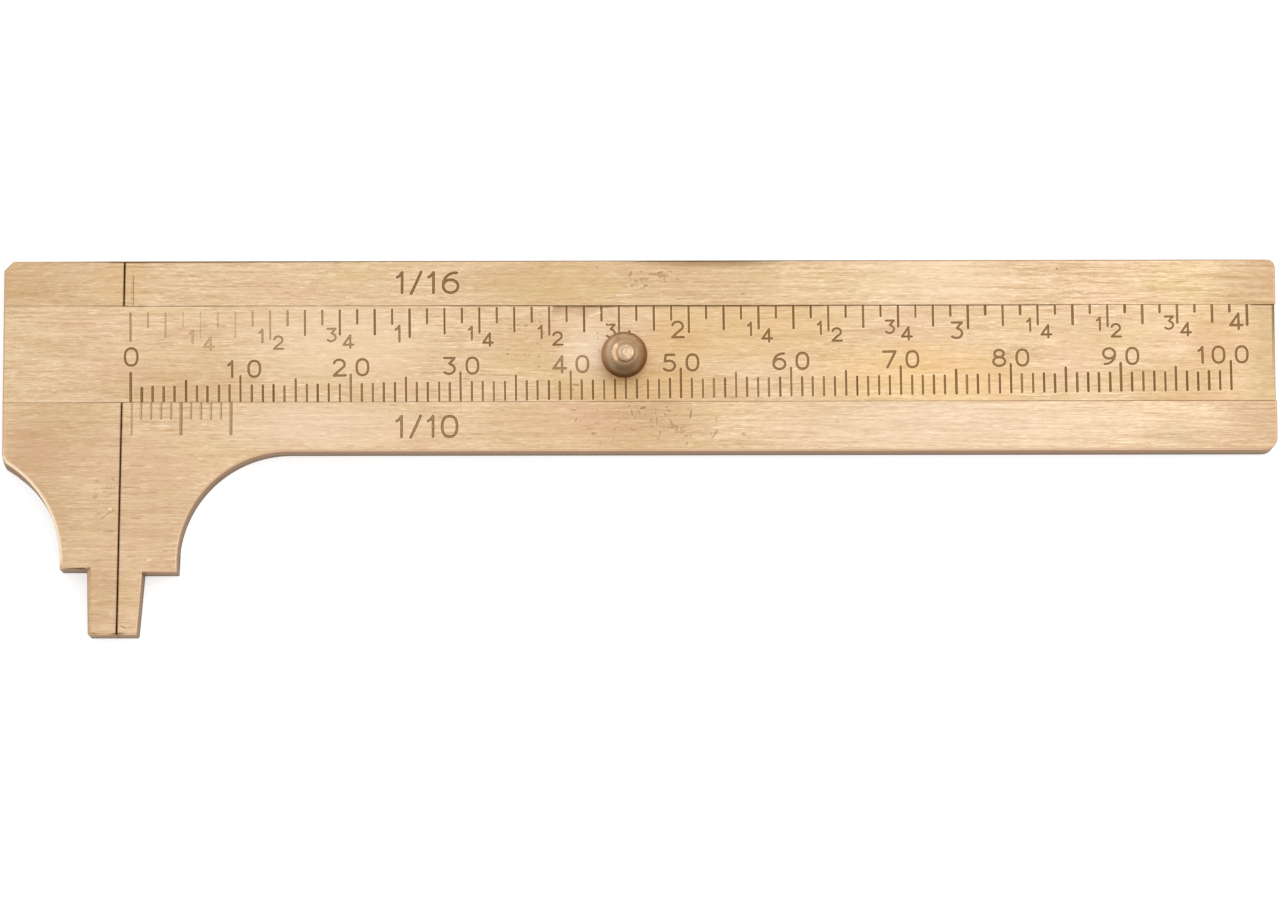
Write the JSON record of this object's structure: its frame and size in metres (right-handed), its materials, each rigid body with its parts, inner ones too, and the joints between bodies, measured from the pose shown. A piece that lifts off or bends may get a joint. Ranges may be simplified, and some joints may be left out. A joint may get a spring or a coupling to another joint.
{
  "type": "pocket vernier caliper",
  "caption": "Flat brass pocket caliper: a scale strip with a hanging jaw slides in a dovetail channel in the beam, read by a vernier in millimetres and an index line in inches.",
  "frame": {"origin": "on the back face, where the zero line of the scales crosses the middle of the dovetail channel", "axes": "+X along the scale towards the beam's free end, +Y across it away from the jaws, +Z out of the scale face"},
  "size_m": [0.1158, 0.0342, 0.0072],
  "materials": {
    "plate_brass": "brushed",
    "face_brass": "brushed, engraved lines darkened",
    "strip_brass": "brushed, engraved scales darkened",
    "knob_brass": "turned and tarnished",
    "rivet_brass": "hammered, worn bright"
  },
  "bodies": {
    "beam": {"beam_plate": "plate_brass", "upper_rail": "face_brass", "lower_rail": "face_brass"},
    "slide": {"head_plate": "plate_brass", "head_block": "face_brass", "moving_jaw": "face_brass", "scale_strip": "strip_brass", "thumb_knob": "knob_brass", "knob_rivet": "rivet_brass"}
  },
  "joints": [
    {"name": "jaw_slide", "type": "slide", "parent": "beam", "child": "slide", "axis": [-1, 0, 0], "range_m": [0, 0.1]}
  ]
}
